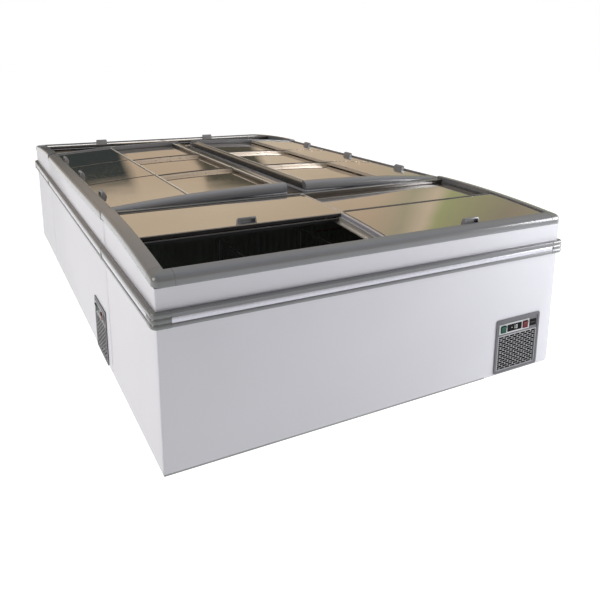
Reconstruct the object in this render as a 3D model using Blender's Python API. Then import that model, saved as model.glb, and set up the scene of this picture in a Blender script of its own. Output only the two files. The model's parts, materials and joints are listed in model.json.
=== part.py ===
"""Island chest freezer: two end cabinets and two back-to-back straight cabinets.

World frame: metres, +Z up, origin on the floor at the middle of the island, +Y along its length, and the
near end cabinet at -Y. Every cabinet is built in its own local frame and then turned into place: local x
runs along the cabinet's length from left to right as a shopper sees it, y from its front panel to its back,
z up from the floor. The lids slide on arcs about an axis far below each cabinet's back edge.
"""

import math

import bmesh
import bpy
from mathutils import Matrix, Vector

# Driving dimensions of the island
CABINET_LENGTH = 1.85
END_DEPTH = 0.82
STRAIGHT_DEPTH = 0.875
FOOT_HEIGHT = 0.03
END_FRONT_TOP = 0.756
STRAIGHT_LIFT = 0.036
LID_RISE = 0.046
BUTT_GAP = 0.0005
FIT_GAP = 0.0003

# Outer shell
SHEET = 0.003
FOOT_RADIUS = 0.022
FOOT_INSET = 0.09
GLAND_RADIUS = 0.011
GLAND_DROP = 0.018

# Insulated tub
TUB_WALL = 0.057
TUB_FLOOR_Z = 0.115
SHELF_FLOOR_Z = 0.395
BAY_CEILING_Z = 0.335
BAY_START_X = 0.53
SHELF_START_X = 0.475

# Top rim and lid tracks, as drops below the lid arc
RIM_DEPTH = 0.056
RIM_SKIRT = 0.042
RIM_FRONT = 0.045
RIM_SIDE = 0.045
RIM_BACK = 0.045
RIM_PROUD = 0.006
RIM_ROUND = 0.018
RIM_STEP = 0.001
BACK_DROP = 0.010
RAIL_HALF = 0.008
RAIL_DROP = 0.012
TRACK_WIDTH = 0.010
UPPER_TRACK = 0.0260
LOWER_TRACK = 0.0482
SHELL_TOP = 0.0445
TUB_TOP = 0.0585

# Lids
LID_CLEAR = 0.0015
UPPER_LID_TOP = 0.008
LOWER_LID_TOP = 0.030
LID_THICK = 0.017
PANE = 0.006
LID_FRONT_BAR = 0.020
LID_REAR_BAR = 0.012
LID_SIDE_BAR = 0.012
LID_MIDDLE = 0.390
LID_LAP = 0.010
HANDLE_WIDTH = 0.080
HANDLE_HEIGHT = 0.026
HANDLE_FOOT = 0.026
HANDLE_CREST = 0.014

# Bumper rail round the island
BUMPER_BOTTOM = 0.5755
BUMPER_TOP = 0.634
BUMPER_PROUD = 0.020
BUMPER_RECESS = 0.004

# Vent panel in the front of the machine bay
PANEL_X = (0.579, 0.846)
PANEL_Z = (0.042, 0.302)
PANEL_PLATE = 0.004
PANEL_FLANGE = 0.010
PANEL_BOSS = 0.008
VENT_X = (0.588, 0.828)
VENT_Z = (0.068, 0.218)
VENT_ROWS = 9
VENT_COLUMNS = 2
VENT_SLOT = 0.007
VENT_BAR = 0.012

# Rocker switches
ROCKER_Z = 0.256
ROCKER_X = {"power_rocker": 0.621, "fast_freeze_rocker": 0.756}
ROCKER_WIDTH = 0.030
ROCKER_HEIGHT = 0.032
ROCKER_CLEAR = 0.0013
ROCKER_CREST = 0.0100
ROCKER_VALLEY = 0.0070
ROCKER_BACK = 0.006
ROCKER_TILT = math.radians(7)

# Machine bay
FAN_X = 0.708
FAN_Z = 0.170
FAN_RADIUS = 0.084
FAN_Y = (0.150, 0.180)
FAN_HUB = 0.024
FAN_BLADES = 5
MOTOR_Y = (0.184, 0.228)
MOTOR_RADIUS = 0.030
SHROUD_END = 0.176
BRACKET = 0.024
CORE_X = (0.590, 0.826)
CORE_Y = (0.040, 0.095)
CORE_Z = (0.055, 0.290)
CORE_BACK = 0.010
FINS = 8
COMPRESSOR_XY = (0.730, 0.480)

ARC_STEPS = 8
LID_STEPS = 4
ROUND_SIDES = 14

SHOP_WHITE = ("shop_white", (0.86, 0.86, 0.88), 0.35, 0.0)
LINER_BLACK = ("liner_black", (0.045, 0.050, 0.052), 0.55, 0.0)
RIM_GREY = ("rim_grey", (0.34, 0.35, 0.37), 0.42, 0.0)
PANEL_GREY = ("panel_grey", (0.30, 0.31, 0.33), 0.45, 0.0)
BUMPER_GREY = ("bumper_grey", (0.36, 0.37, 0.39), 0.40, 0.0)
SPINE_DARK = ("spine_dark", (0.10, 0.09, 0.08), 0.50, 0.0)
LID_GLASS = ("lid_glass", (0.52, 0.43, 0.32), 0.06, 0.0)
ROCKER_GREEN = ("rocker_green", (0.01, 0.22, 0.14), 0.30, 0.0)
ROCKER_RED = ("rocker_red", (0.35, 0.02, 0.02), 0.30, 0.0)
POT_BLACK = ("pot_black", (0.03, 0.03, 0.03), 0.40, 0.0)
FIN_METAL = ("fin_metal", (0.62, 0.63, 0.64), 0.35, 0.9)
FAN_BLACK = ("fan_black", (0.05, 0.05, 0.05), 0.45, 0.0)
WIRE_GREY = ("wire_grey", (0.45, 0.45, 0.45), 0.35, 0.6)


def clear_scene():
    for old in list(bpy.data.objects):
        bpy.data.objects.remove(old, do_unlink=True)


def material(spec):
    """A Principled material, made once for each finish."""
    name, colour, roughness, metallic = spec
    made = bpy.data.materials.get(name)
    if made:
        return made
    made = bpy.data.materials.new(name)
    made.use_nodes = True
    shader = made.node_tree.nodes["Principled BSDF"]
    shader.inputs["Base Color"].default_value = (*colour, 1.0)
    shader.inputs["Roughness"].default_value = roughness
    shader.inputs["Metallic"].default_value = metallic
    return made


# Solids


def mesh_of(name, bm):
    """Closes off a bmesh as a mesh whose faces point outwards."""
    bmesh.ops.recalc_face_normals(bm, faces=bm.faces)
    mesh = bpy.data.meshes.new(name)
    bm.to_mesh(mesh)
    bm.free()
    return mesh


def loft(rings):
    """A closed solid through rings of the same number of points, with flat end caps."""
    bm = bmesh.new()
    made = [[bm.verts.new(point) for point in ring] for ring in rings]
    count = len(made[0])
    for first, second in zip(made, made[1:]):
        for i in range(count):
            bm.faces.new((first[i], first[(i + 1) % count], second[(i + 1) % count], second[i]))
    bm.faces.new(made[0])
    bm.faces.new(made[-1])
    return mesh_of("solid", bm)


def box(x, y, z):
    """A block between two values along each axis."""
    outline = [(y[0], z[0]), (y[1], z[0]), (y[1], z[1]), (y[0], z[1])]
    return loft([[(end, *point) for point in outline] for end in x])


def cylinder(centre, radius, half, axis="Z", sides=ROUND_SIDES):
    """A round bar centred on a point, along Z or Y."""
    bm = bmesh.new()
    turn = Matrix.Rotation(math.radians(90), 4, "X") if axis == "Y" else Matrix.Identity(4)
    bmesh.ops.create_cone(
        bm,
        cap_ends=True,
        segments=sides,
        radius1=radius,
        radius2=radius,
        depth=2 * half,
        matrix=Matrix.Translation(centre) @ turn,
    )
    return mesh_of("round", bm)


def joined(base, others, operation):
    """The base mesh after a Boolean with each of the other meshes in turn."""
    work = bpy.data.objects.new("work", base)
    bpy.context.scene.collection.objects.link(work)
    tools = []
    for mesh in others:
        tool = bpy.data.objects.new("tool", mesh)
        tool.hide_render = True
        tool.display_type = "WIRE"
        bpy.context.scene.collection.objects.link(tool)
        modifier = work.modifiers.new(operation.title(), "BOOLEAN")
        modifier.operation = operation
        modifier.solver = "EXACT"
        modifier.object = tool
        tools.append(tool)
    bpy.context.view_layer.update()
    seen = work.evaluated_get(bpy.context.evaluated_depsgraph_get())
    result = bpy.data.meshes.new_from_object(seen)
    for temporary in [work, *tools]:
        bpy.data.objects.remove(temporary, do_unlink=True)
    return result


def cut(base, *cutters):
    return joined(base, cutters, "DIFFERENCE")


def fused(base, *others):
    return joined(base, others, "UNION")


def quarter_round(centre, radius, start, end, steps=4):
    """Points on an arc in a section plane, angles in degrees from its first axis."""
    angles = [math.radians(start + (end - start) * i / steps) for i in range(steps + 1)]
    return [(centre[0] + radius * math.cos(a), centre[1] + radius * math.sin(a)) for a in angles]


# Cabinets


class Cabinet:
    """One cabinet's sizes and its place in the island. End cabinets stand free on three sides."""

    def __init__(self, name, depth, front_top, bays, is_end, turn, place):
        self.name = name
        self.depth = depth
        self.bays = bays
        self.is_end = is_end
        self.radius = (depth**2 + LID_RISE**2) / (2 * LID_RISE)
        self.centre_z = front_top + LID_RISE - self.radius
        self.front_top = front_top
        self.half = CABINET_LENGTH / 2 - (0 if is_end else BUTT_GAP)
        self.back = depth - BUTT_GAP
        self.side_proud = RIM_PROUD if is_end else 0.0
        self.matrix = Matrix.Translation(place) @ Matrix.Rotation(math.radians(turn), 4, "Z")

    def angle(self, y, drop=0.0):
        """The angle about the lid axis, from the vertical forwards, of a point at depth y."""
        return math.asin((self.depth - y) / (self.radius - drop))

    def at(self, x, angle, drop):
        """The point at x, at an angle about the lid axis, that lies drop below the lid arc."""
        r = self.radius - drop
        return Vector((x, self.depth - r * math.sin(angle), self.centre_z + r * math.cos(angle)))

    def under_arc(self, y, drop):
        """A point of a lengthwise section: depth y, and drop below the lid arc."""
        point = self.at(0, self.angle(y, drop), drop)
        return (point.y, point.z)

    def swept(self, outline, front_angle, back_angle, steps):
        """A solid whose section in x and drop follows the lid arc from front to back."""
        rings = []
        for i in range(steps + 1):
            angle = front_angle + (back_angle - front_angle) * i / steps
            rings.append([self.at(x, angle, drop) for x, drop in outline])
        return loft(rings)

    def lengthwise(self, outline, x_low, x_high):
        """A solid whose section in y and z runs along the cabinet's length."""
        return loft([[(x, y, z) for y, z in outline] for x in (x_low, x_high)])

    def arched_block(self, x_low, x_high, y_low, y_high, z_low, drop):
        """A block whose top follows the lid arc, drop below it."""
        outline = [(y_low, z_low), (y_high, z_low)]
        for i in range(ARC_STEPS + 1):
            y = y_high + (y_low - y_high) * i / ARC_STEPS
            outline.append(self.under_arc(y, drop))
        return self.lengthwise(outline, x_low, x_high)

    def bay_edges(self):
        """The x of both edges of every lid bay, between the side rims and the cross rails."""
        inner = self.half - RIM_SIDE
        rails = self.rail_places()
        lows = [-inner] + [x + RAIL_HALF for x in rails]
        highs = [x - RAIL_HALF for x in rails] + [inner]
        return list(zip(lows, highs))

    def rail_places(self):
        inner = self.half - RIM_SIDE
        pitch = 2 * inner / self.bays
        return [-inner + pitch * i for i in range(1, self.bays)]

    def lid_travel(self):
        """How far a lid turns about the lid axis between closed and fully back."""
        closed = self.angle(RIM_FRONT + 2 * LID_CLEAR)
        opened = self.angle(LID_MIDDLE - LID_LAP)
        return closed - opened

    def place_node(self, part, mesh, spec, origin=(0.0, 0.0, 0.0), smooth=False):
        """Puts a mesh made in local coordinates into the island, with its origin at a local point."""
        mesh.transform(Matrix.Translation(-Vector(origin)))
        mesh.materials.clear()
        mesh.materials.append(material(spec))
        if smooth:
            mesh.shade_smooth()
            mesh.set_sharp_from_angle(angle=math.radians(35))
        node = bpy.data.objects.new(f"{self.name}_{part}", mesh)
        node.matrix_world = self.matrix @ Matrix.Translation(origin)
        bpy.context.scene.collection.objects.link(node)
        return node


def make_shell(cab):
    """Folded white sheet: four walls, the bottom pan, the machine bay's mouth, feet and cable gland."""
    outer = cab.arched_block(-cab.half, cab.half, 0.0, cab.back, FOOT_HEIGHT, SHELL_TOP)
    inside = box(
        (-cab.half + SHEET, cab.half - SHEET), (SHEET, cab.back - SHEET), (FOOT_HEIGHT + SHEET, 1.0)
    )
    mouth = box(
        (PANEL_X[0] + PANEL_FLANGE, PANEL_X[1] - PANEL_FLANGE),
        (-0.05, 0.05),
        (PANEL_Z[0] + PANEL_FLANGE, PANEL_Z[1] - PANEL_FLANGE),
    )
    feet = []
    for x in (-cab.half + FOOT_INSET, 0.0, cab.half - FOOT_INSET):
        for y in (FOOT_INSET, cab.back - FOOT_INSET):
            half = (FOOT_HEIGHT + SHEET / 2) / 2
            feet.append(cylinder((x, y, half), FOOT_RADIUS, half, sides=10))
    gland_half = (GLAND_DROP + SHEET / 2) / 2
    gland_z = FOOT_HEIGHT + SHEET / 2 - gland_half
    gland = cylinder((PANEL_X[1], cab.back - 0.03, gland_z), GLAND_RADIUS, gland_half, sides=8)
    shell = fused(cut(outer, inside, mouth), *feet, gland)
    cab.place_node("cabinet_shell", shell, SHOP_WHITE)


def make_tub(cab):
    """The inner liner with its foamed-in insulation, stepped over the machine bay."""
    skin = SHEET + FIT_GAP
    bottom = FOOT_HEIGHT + skin
    outer = cab.arched_block(-cab.half + skin, cab.half - skin, skin, cab.back - skin, bottom, TUB_TOP)
    y_wall = (TUB_WALL + SHEET, cab.back - TUB_WALL)
    x_wall = cab.half - TUB_WALL - SHEET
    deep = box((-x_wall, SHELF_START_X), y_wall, (TUB_FLOOR_Z, 1.0))
    shallow = box((0.0, x_wall), y_wall, (SHELF_FLOOR_Z, 1.1))
    bay = box((BAY_START_X, 1.0), (-0.1, 1.0), (-0.1, BAY_CEILING_Z))
    cab.place_node("insulated_tub", cut(outer, deep, shallow, bay), LINER_BLACK)


def front_rim_outline(cab):
    """Section of the front rim: upright face, rounded shoulder, top that follows the lid arc."""
    face = [(-RIM_PROUD, RIM_SKIRT)]
    shoulder = quarter_round((-RIM_PROUD + RIM_ROUND, -RIM_ROUND), RIM_ROUND, 180, 90)
    top = [(y, -z) for y, z in shoulder]
    tail = [(RIM_FRONT, 0.0), (RIM_FRONT, RIM_SKIRT)]
    return [cab.under_arc(y, drop) for y, drop in face + top + tail]


def back_rim_outline(cab):
    """Section of the back rim, with a small round on the edge that faces away."""
    round_radius = RIM_ROUND / 2
    centre = (cab.back - round_radius, -round_radius - BACK_DROP)
    shoulder = quarter_round(centre, round_radius, 90, 0, 2)
    top = [(y, -z) for y, z in shoulder]
    start = [(cab.back - RIM_BACK, RIM_SKIRT), (cab.back - RIM_BACK, BACK_DROP)]
    return [cab.under_arc(y, drop) for y, drop in start + top + [(cab.back, RIM_SKIRT)]]


def rim_tongue(cab, y_low, y_high):
    """The part under a front or back rim that reaches down inside the shell."""
    inner = cab.half - SHEET - 2 * FIT_GAP - RIM_STEP
    corners = [(y_low, RIM_DEPTH), (y_high, RIM_DEPTH), (y_high, RIM_SKIRT / 2), (y_low, RIM_SKIRT / 2)]
    return cab.lengthwise([cab.under_arc(*corner) for corner in corners], -inner, inner)


def side_rim_outline(cab, side):
    """Section of a side rim in x and drop: upright outside face and a rounded shoulder."""
    edge, bay = cab.half + cab.side_proud, cab.half - RIM_SIDE
    centre = (edge - RIM_ROUND, -RIM_ROUND - RIM_STEP)
    shoulder = [(x, -z) for x, z in quarter_round(centre, RIM_ROUND, 0, 90)]
    skirt = RIM_SKIRT - RIM_STEP
    outline = [(edge, skirt)] + shoulder + [(bay, RIM_STEP), (bay, skirt)]
    return [(side * x, drop) for x, drop in outline]


def side_ledge_outline(cab, side):
    """Section of the two track ledges under a side rim and the tongue that holds them in the shell."""
    tongue, bay = cab.half - SHEET - 2 * FIT_GAP, cab.half - RIM_SIDE
    outline = [
        (tongue, RIM_DEPTH - RIM_STEP),
        (tongue, UPPER_TRACK),
        (bay - TRACK_WIDTH, UPPER_TRACK),
        (bay - TRACK_WIDTH, LOWER_TRACK),
        (bay - 2 * TRACK_WIDTH, LOWER_TRACK),
        (bay - 2 * TRACK_WIDTH, RIM_DEPTH - RIM_STEP),
    ]
    return [(side * x, drop) for x, drop in outline]


def rail_outline(x):
    """Section of a cross rail between two bays, stepped on both sides for the tracks."""
    half = [
        (RAIL_HALF + 2 * TRACK_WIDTH, RIM_DEPTH - RIM_STEP),
        (RAIL_HALF + 2 * TRACK_WIDTH, LOWER_TRACK),
        (RAIL_HALF + TRACK_WIDTH, LOWER_TRACK),
        (RAIL_HALF + TRACK_WIDTH, UPPER_TRACK),
        (RAIL_HALF, UPPER_TRACK),
        (RAIL_HALF, RAIL_DROP),
    ]
    mirrored = [(-dx, drop) for dx, drop in reversed(half)]
    return [(x + dx, drop) for dx, drop in half + mirrored]


def make_rim(cab):
    """Front, back and side rims with the cross rails, one moulded frame that carries the lids."""
    reach = cab.half + cab.side_proud + (RIM_STEP if cab.is_end else 0.0)
    front = cab.lengthwise(front_rim_outline(cab), -reach, reach)
    back = cab.lengthwise(back_rim_outline(cab), -reach, reach)
    clear = SHEET + 2 * FIT_GAP
    tongues = [
        rim_tongue(cab, clear, RIM_FRONT - RIM_STEP),
        rim_tongue(cab, cab.back - RIM_BACK + RIM_STEP, cab.back - clear),
    ]
    front_angle = cab.angle(RIM_FRONT / 2)
    back_angle = cab.angle(cab.back - RIM_BACK / 2)
    bars = [side_ledge_outline(cab, side) for side in (-1, 1)]
    bars += [rail_outline(x) for x in cab.rail_places()]
    swept = [cab.swept(outline, front_angle, back_angle, ARC_STEPS) for outline in bars]
    end_angle = cab.angle(cab.back - RIM_STEP)
    swept += [cab.swept(side_rim_outline(cab, side), front_angle, end_angle, ARC_STEPS) for side in (-1, 1)]
    cab.place_node("top_rim", fused(front, back, *tongues, *swept), RIM_GREY)


def lid_plate(cab, edges, top, front_angle, back_angle):
    """A curved tray: a thin pane with a stiffening bar round its underside."""
    x_low, x_high = edges
    bottom = top + LID_THICK
    slab = cab.swept(
        [(x_low, top), (x_high, top), (x_high, bottom), (x_low, bottom)], front_angle, back_angle, LID_STEPS
    )
    roof, mouth = top + PANE, bottom + PANE
    inner = (x_low + LID_SIDE_BAR, x_high - LID_SIDE_BAR)
    pocket = cab.swept(
        [(inner[0], roof), (inner[1], roof), (inner[1], mouth), (inner[0], mouth)],
        front_angle - LID_FRONT_BAR / cab.radius,
        back_angle + LID_REAR_BAR / cab.radius,
        LID_STEPS,
    )
    return cut(slab, pocket)


def lid_handle(cab, x, top, front_angle):
    """A small upright grip on the middle of a lid's front bar."""
    lean = (HANDLE_FOOT - HANDLE_CREST) / 2
    start = 2 * LID_CLEAR
    outline = [
        (start, top + PANE),
        (start, top),
        (start + lean, top - HANDLE_HEIGHT),
        (start + lean + HANDLE_CREST, top - HANDLE_HEIGHT),
        (start + HANDLE_FOOT, top),
        (start + HANDLE_FOOT, top + PANE),
    ]
    ends = (x - HANDLE_WIDTH / 2, x + HANDLE_WIDTH / 2)
    return loft([[cab.at(end, front_angle - d / cab.radius, drop) for d, drop in outline] for end in ends])


def make_lids(cab, slid_back):
    """A front lid in the upper track and a rear lid in the lower track for every bay."""
    axis_point = (0.0, cab.depth, cab.centre_z)
    front_start = cab.angle(RIM_FRONT + 2 * LID_CLEAR)
    front_end = cab.angle(LID_MIDDLE + LID_LAP)
    rear_start = cab.angle(LID_MIDDLE - LID_LAP)
    rear_end = cab.angle(cab.back - RIM_BACK - 2 * LID_CLEAR)
    for number, (low, high) in enumerate(cab.bay_edges(), start=1):
        turned = cab.lid_travel() if number in slid_back else 0.0
        edges = (low + LID_CLEAR, high - LID_CLEAR)
        plate = lid_plate(cab, edges, UPPER_LID_TOP, front_start - turned, front_end - turned)
        handle = lid_handle(cab, (low + high) / 2, UPPER_LID_TOP, front_start - turned)
        cab.place_node(f"front_lid_{number}", fused(plate, handle), LID_GLASS, axis_point)
        inset = TRACK_WIDTH + LID_CLEAR
        edges = (low + inset, high - inset)
        plate = lid_plate(cab, edges, LOWER_LID_TOP, rear_start, rear_end)
        cab.place_node(f"rear_lid_{number}", plate, LID_GLASS, axis_point)


def make_vent_panel(cab):
    """Grille plate over the machine bay, with two rows of slots and holes for the switches."""
    plate = box(PANEL_X, (-PANEL_PLATE - FIT_GAP, -FIT_GAP), PANEL_Z)
    inset = PANEL_FLANGE + 3 * FIT_GAP
    boss_x = (PANEL_X[0] + inset, PANEL_X[1] - inset)
    boss_z = (PANEL_Z[0] + inset, PANEL_Z[1] - inset)
    boss = box(boss_x, (-PANEL_PLATE / 2, PANEL_BOSS), boss_z)
    cutters = []
    for x in ROCKER_X.values():
        half_x = ROCKER_WIDTH / 2 + ROCKER_CLEAR
        half_z = ROCKER_HEIGHT / 2 + ROCKER_CLEAR + FIT_GAP
        cutters.append(box((x - half_x, x + half_x), (-0.05, 0.05), (ROCKER_Z - half_z, ROCKER_Z + half_z)))
    column = (VENT_X[1] - VENT_X[0] - VENT_BAR * (VENT_COLUMNS - 1)) / VENT_COLUMNS
    pitch = (VENT_Z[1] - VENT_Z[0]) / VENT_ROWS
    for i in range(VENT_COLUMNS):
        x = VENT_X[0] + i * (column + VENT_BAR)
        for j in range(VENT_ROWS):
            z = VENT_Z[0] + j * pitch
            cutters.append(box((x, x + column), (-0.05, 0.05), (z, z + VENT_SLOT)))
    cab.place_node("vent_panel", cut(fused(plate, boss), *cutters), PANEL_GREY)


def make_rockers(cab):
    """Two rocker switches, each pivoted along its middle and tipped to its rest side."""
    half_x, half_z = ROCKER_WIDTH / 2, ROCKER_HEIGHT / 2
    outline = [
        (-ROCKER_CREST, -half_z),
        (-ROCKER_VALLEY, 0.0),
        (-ROCKER_CREST, half_z),
        (ROCKER_BACK, half_z * 0.8),
        (ROCKER_BACK, -half_z * 0.8),
    ]
    for part, x in ROCKER_X.items():
        mesh = cab.lengthwise(outline, -half_x, half_x)
        mesh.transform(Matrix.Rotation(ROCKER_TILT, 4, "X"))
        pivot = Vector((x, 0.0, ROCKER_Z))
        mesh.transform(Matrix.Translation(pivot))
        spec = ROCKER_GREEN if part == "power_rocker" else ROCKER_RED
        cab.place_node(part, mesh, spec, pivot)


def make_condenser(cab):
    """Finned condenser block with its fan shroud, motor and motor bracket."""
    core = box(CORE_X, CORE_Y, CORE_Z)
    pitch = (CORE_X[1] - CORE_X[0]) / FINS
    back_plate = CORE_Y[1] - CORE_BACK
    slots = []
    for i in range(FINS):
        x = CORE_X[0] + (i + 0.3) * pitch
        slots.append(box((x, x + 0.4 * pitch), (0.0, back_plate), (0.0, 1.0)))
    opening = cylinder((FAN_X, CORE_Y[1], FAN_Z), FAN_RADIUS, 2 * CORE_BACK, "Y", 16)
    shroud_half = (SHROUD_END - back_plate) / 2
    shroud_y = back_plate + shroud_half + CORE_BACK / 2
    tube = cylinder((FAN_X, shroud_y, FAN_Z), FAN_RADIUS + 0.012, shroud_half - CORE_BACK / 2, "Y", 16)
    bore = cylinder((FAN_X, shroud_y, FAN_Z), FAN_RADIUS + 0.006, shroud_half + CORE_BACK, "Y", 16)
    post_x = (FAN_X - BRACKET / 2, FAN_X + BRACKET / 2)
    reach = FAN_RADIUS + 0.009
    posts = []
    for z in (FAN_Z + reach, FAN_Z - reach):
        posts.append(box(post_x, (SHROUD_END - 0.02, MOTOR_Y[0] + 0.012), (z - 0.003, z + 0.003)))
    arm_x = (post_x[0] + 0.001, post_x[1] - 0.001)
    arm = box(arm_x, (MOTOR_Y[0] + 0.005, MOTOR_Y[0] + 0.011), (FAN_Z - reach, FAN_Z + reach))
    motor_half = (MOTOR_Y[1] - MOTOR_Y[0]) / 2
    motor = cylinder((FAN_X, sum(MOTOR_Y) / 2, FAN_Z), MOTOR_RADIUS, motor_half, "Y", 12)
    solid = fused(cut(core, *slots, opening), cut(tube, bore), *posts, arm, motor)
    cab.place_node("condenser", solid, FIN_METAL)


def make_fan(cab):
    """Fan wheel: a hub with pitched blades, turning on the motor's axis."""
    centre = Vector((FAN_X, (FAN_Y[0] + FAN_Y[1]) / 2, FAN_Z))
    hub = cylinder(centre, FAN_HUB, (FAN_Y[1] - FAN_Y[0]) / 2, "Y", 12)
    blades = []
    for i in range(FAN_BLADES):
        blade = box((FAN_HUB * 0.7, FAN_RADIUS), (-0.0015, 0.0015), (-0.017, 0.017))
        blade.transform(Matrix.Rotation(math.radians(32), 4, "X"))
        blade.transform(Matrix.Rotation(math.radians(360 * i / FAN_BLADES), 4, "Y"))
        blade.transform(Matrix.Translation(centre))
        blades.append(blade)
    cab.place_node("condenser_fan", fused(hub, *blades), FAN_BLACK, centre)


def make_compressor(cab):
    """Hermetic compressor: a turned pot on its mounting plate."""
    x, y = COMPRESSOR_XY
    floor = FOOT_HEIGHT + SHEET + FIT_GAP
    profile = [(0.062, 0.020), (0.076, 0.045), (0.076, 0.095), (0.080, 0.097), (0.080, 0.104)]
    profile += [(0.076, 0.106), (0.070, 0.150), (0.045, 0.176)]
    sides = 12
    rings = []
    for radius, height in profile:
        ring = []
        for i in range(sides):
            angle = 2 * math.pi * i / sides
            ring.append((x + radius * math.cos(angle), y + radius * math.sin(angle), floor + height))
        rings.append(ring)
    plate = box((x - 0.10, x + 0.10), (y - 0.07, y + 0.07), (floor, floor + 0.006))
    stand = cylinder((x, y, floor + 0.014), 0.050, 0.010, sides=8)
    cab.place_node("compressor", fused(loft(rings), stand, plate), POT_BLACK)


def make_cabinet(cab, slid_back=()):
    make_shell(cab)
    make_tub(cab)
    make_rim(cab)
    make_lids(cab, slid_back)
    make_vent_panel(cab)
    make_rockers(cab)
    make_condenser(cab)
    make_fan(cab)
    make_compressor(cab)


# Pieces that belong to the whole island


def place_loose(name, mesh, spec, matrix=None):
    mesh.materials.clear()
    mesh.materials.append(material(spec))
    node = bpy.data.objects.new(name, mesh)
    if matrix:
        node.matrix_world = matrix
    bpy.context.scene.collection.objects.link(node)
    return node


def make_bumper():
    """One rail round the island: two lips with a flat band set back between them."""
    height = BUMPER_TOP - BUMPER_BOTTOM
    flat = BUMPER_PROUD - BUMPER_RECESS
    profile = [
        (FIT_GAP, 0.0),
        (0.6 * BUMPER_PROUD, 0.0),
        (BUMPER_PROUD, 0.12 * height),
        (BUMPER_PROUD, 0.28 * height),
        (flat, 0.32 * height),
        (flat, 0.56 * height),
        (BUMPER_PROUD, 0.60 * height),
        (BUMPER_PROUD, 0.86 * height),
        (0.6 * BUMPER_PROUD, height),
        (FIT_GAP, height),
    ]
    half_x = CABINET_LENGTH / 2
    half_y = (CABINET_LENGTH + 2 * END_DEPTH) / 2
    bm = bmesh.new()
    rings = []
    for sign_x, sign_y in ((-1, -1), (1, -1), (1, 1), (-1, 1)):
        ring = []
        for out, up in profile:
            corner = (sign_x * (half_x + out), sign_y * (half_y + out), BUMPER_BOTTOM + up)
            ring.append(bm.verts.new(corner))
        rings.append(ring)
    count = len(profile)
    for first, second in zip(rings, rings[1:] + rings[:1]):
        for i in range(count):
            bm.faces.new((first[i], first[(i + 1) % count], second[(i + 1) % count], second[i]))
    place_loose("bumper_rail", mesh_of("bumper", bm), BUMPER_GREY)


def make_spine_cover():
    """Channel that closes the gap between the two straight cabinets' backs."""
    half_gap = CABINET_LENGTH / 2 - STRAIGHT_DEPTH - 2 * FIT_GAP
    half_length = CABINET_LENGTH / 2 - BUTT_GAP
    top, bottom, sheet = 0.782, 0.715, 0.004
    outline = [
        (-half_gap, bottom),
        (-half_gap, top),
        (half_gap, top),
        (half_gap, bottom),
        (half_gap - sheet, bottom),
        (half_gap - sheet, top - sheet),
        (-half_gap + sheet, top - sheet),
        (-half_gap + sheet, bottom),
    ]
    ends = (-half_length, half_length)
    mesh = loft([[(x, y, z) for x, z in outline] for y in ends])
    place_loose("spine_cover", mesh, SPINE_DARK)


def make_dividers(cab):
    """Two wire grids that split the near tub's goods into lots."""
    inner = (TUB_WALL + SHEET + 0.004, cab.back - TUB_WALL - 0.004)
    bottom, top = TUB_FLOOR_Z + 0.003, 0.620
    columns, rows = 6, 4
    for number, x in enumerate((-0.430, -0.010), start=1):
        bm = bmesh.new()
        bmesh.ops.create_grid(bm, x_segments=columns, y_segments=rows, size=0.5)
        size = Matrix.Diagonal((inner[1] - inner[0], top - bottom, 1.0, 1.0))
        stand = Matrix.Rotation(math.radians(90), 4, "X")
        along_y = Matrix.Rotation(math.radians(90), 4, "Z")
        middle = Matrix.Translation((x, sum(inner) / 2, (top + bottom) / 2))
        bm.transform(middle @ along_y @ stand @ size)
        mesh = bpy.data.meshes.new("divider")
        bm.to_mesh(mesh)
        bm.free()
        node = place_loose(f"{cab.name}_wire_divider_{number}", mesh, WIRE_GREY, cab.matrix)
        wires = node.modifiers.new("Wires", "WIREFRAME")
        wires.thickness = 0.004
        wires.use_even_offset = False
        wires.use_boundary = True


def make_island():
    half_y = CABINET_LENGTH / 2 + END_DEPTH
    lifted = END_FRONT_TOP + STRAIGHT_LIFT
    side = CABINET_LENGTH / 2
    near = Cabinet("near", END_DEPTH, END_FRONT_TOP, 2, True, 0, (0, -half_y, 0))
    make_cabinet(near, slid_back=(1,))
    make_cabinet(Cabinet("left", STRAIGHT_DEPTH, lifted, 3, False, -90, (-side, 0, 0)))
    make_cabinet(Cabinet("right", STRAIGHT_DEPTH, lifted, 3, False, 90, (side, 0, 0)))
    make_cabinet(Cabinet("far", END_DEPTH, END_FRONT_TOP, 2, True, 180, (0, half_y, 0)))
    make_dividers(near)
    make_bumper()
    make_spine_cover()


clear_scene()
make_island()
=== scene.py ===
"""Looks for the island chest freezer: sheet, mouldings, aluminium, coated glass and light.

Every piece is made in its cabinet's local frame: x runs along the cabinet's length from left to right as a
shopper sees it, y from its front panel to its back, z up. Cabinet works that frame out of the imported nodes
and joints, together with the arc that the lids slide on.
"""

import json
import math

import bmesh
import bpy
from mathutils import Matrix, Vector


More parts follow.
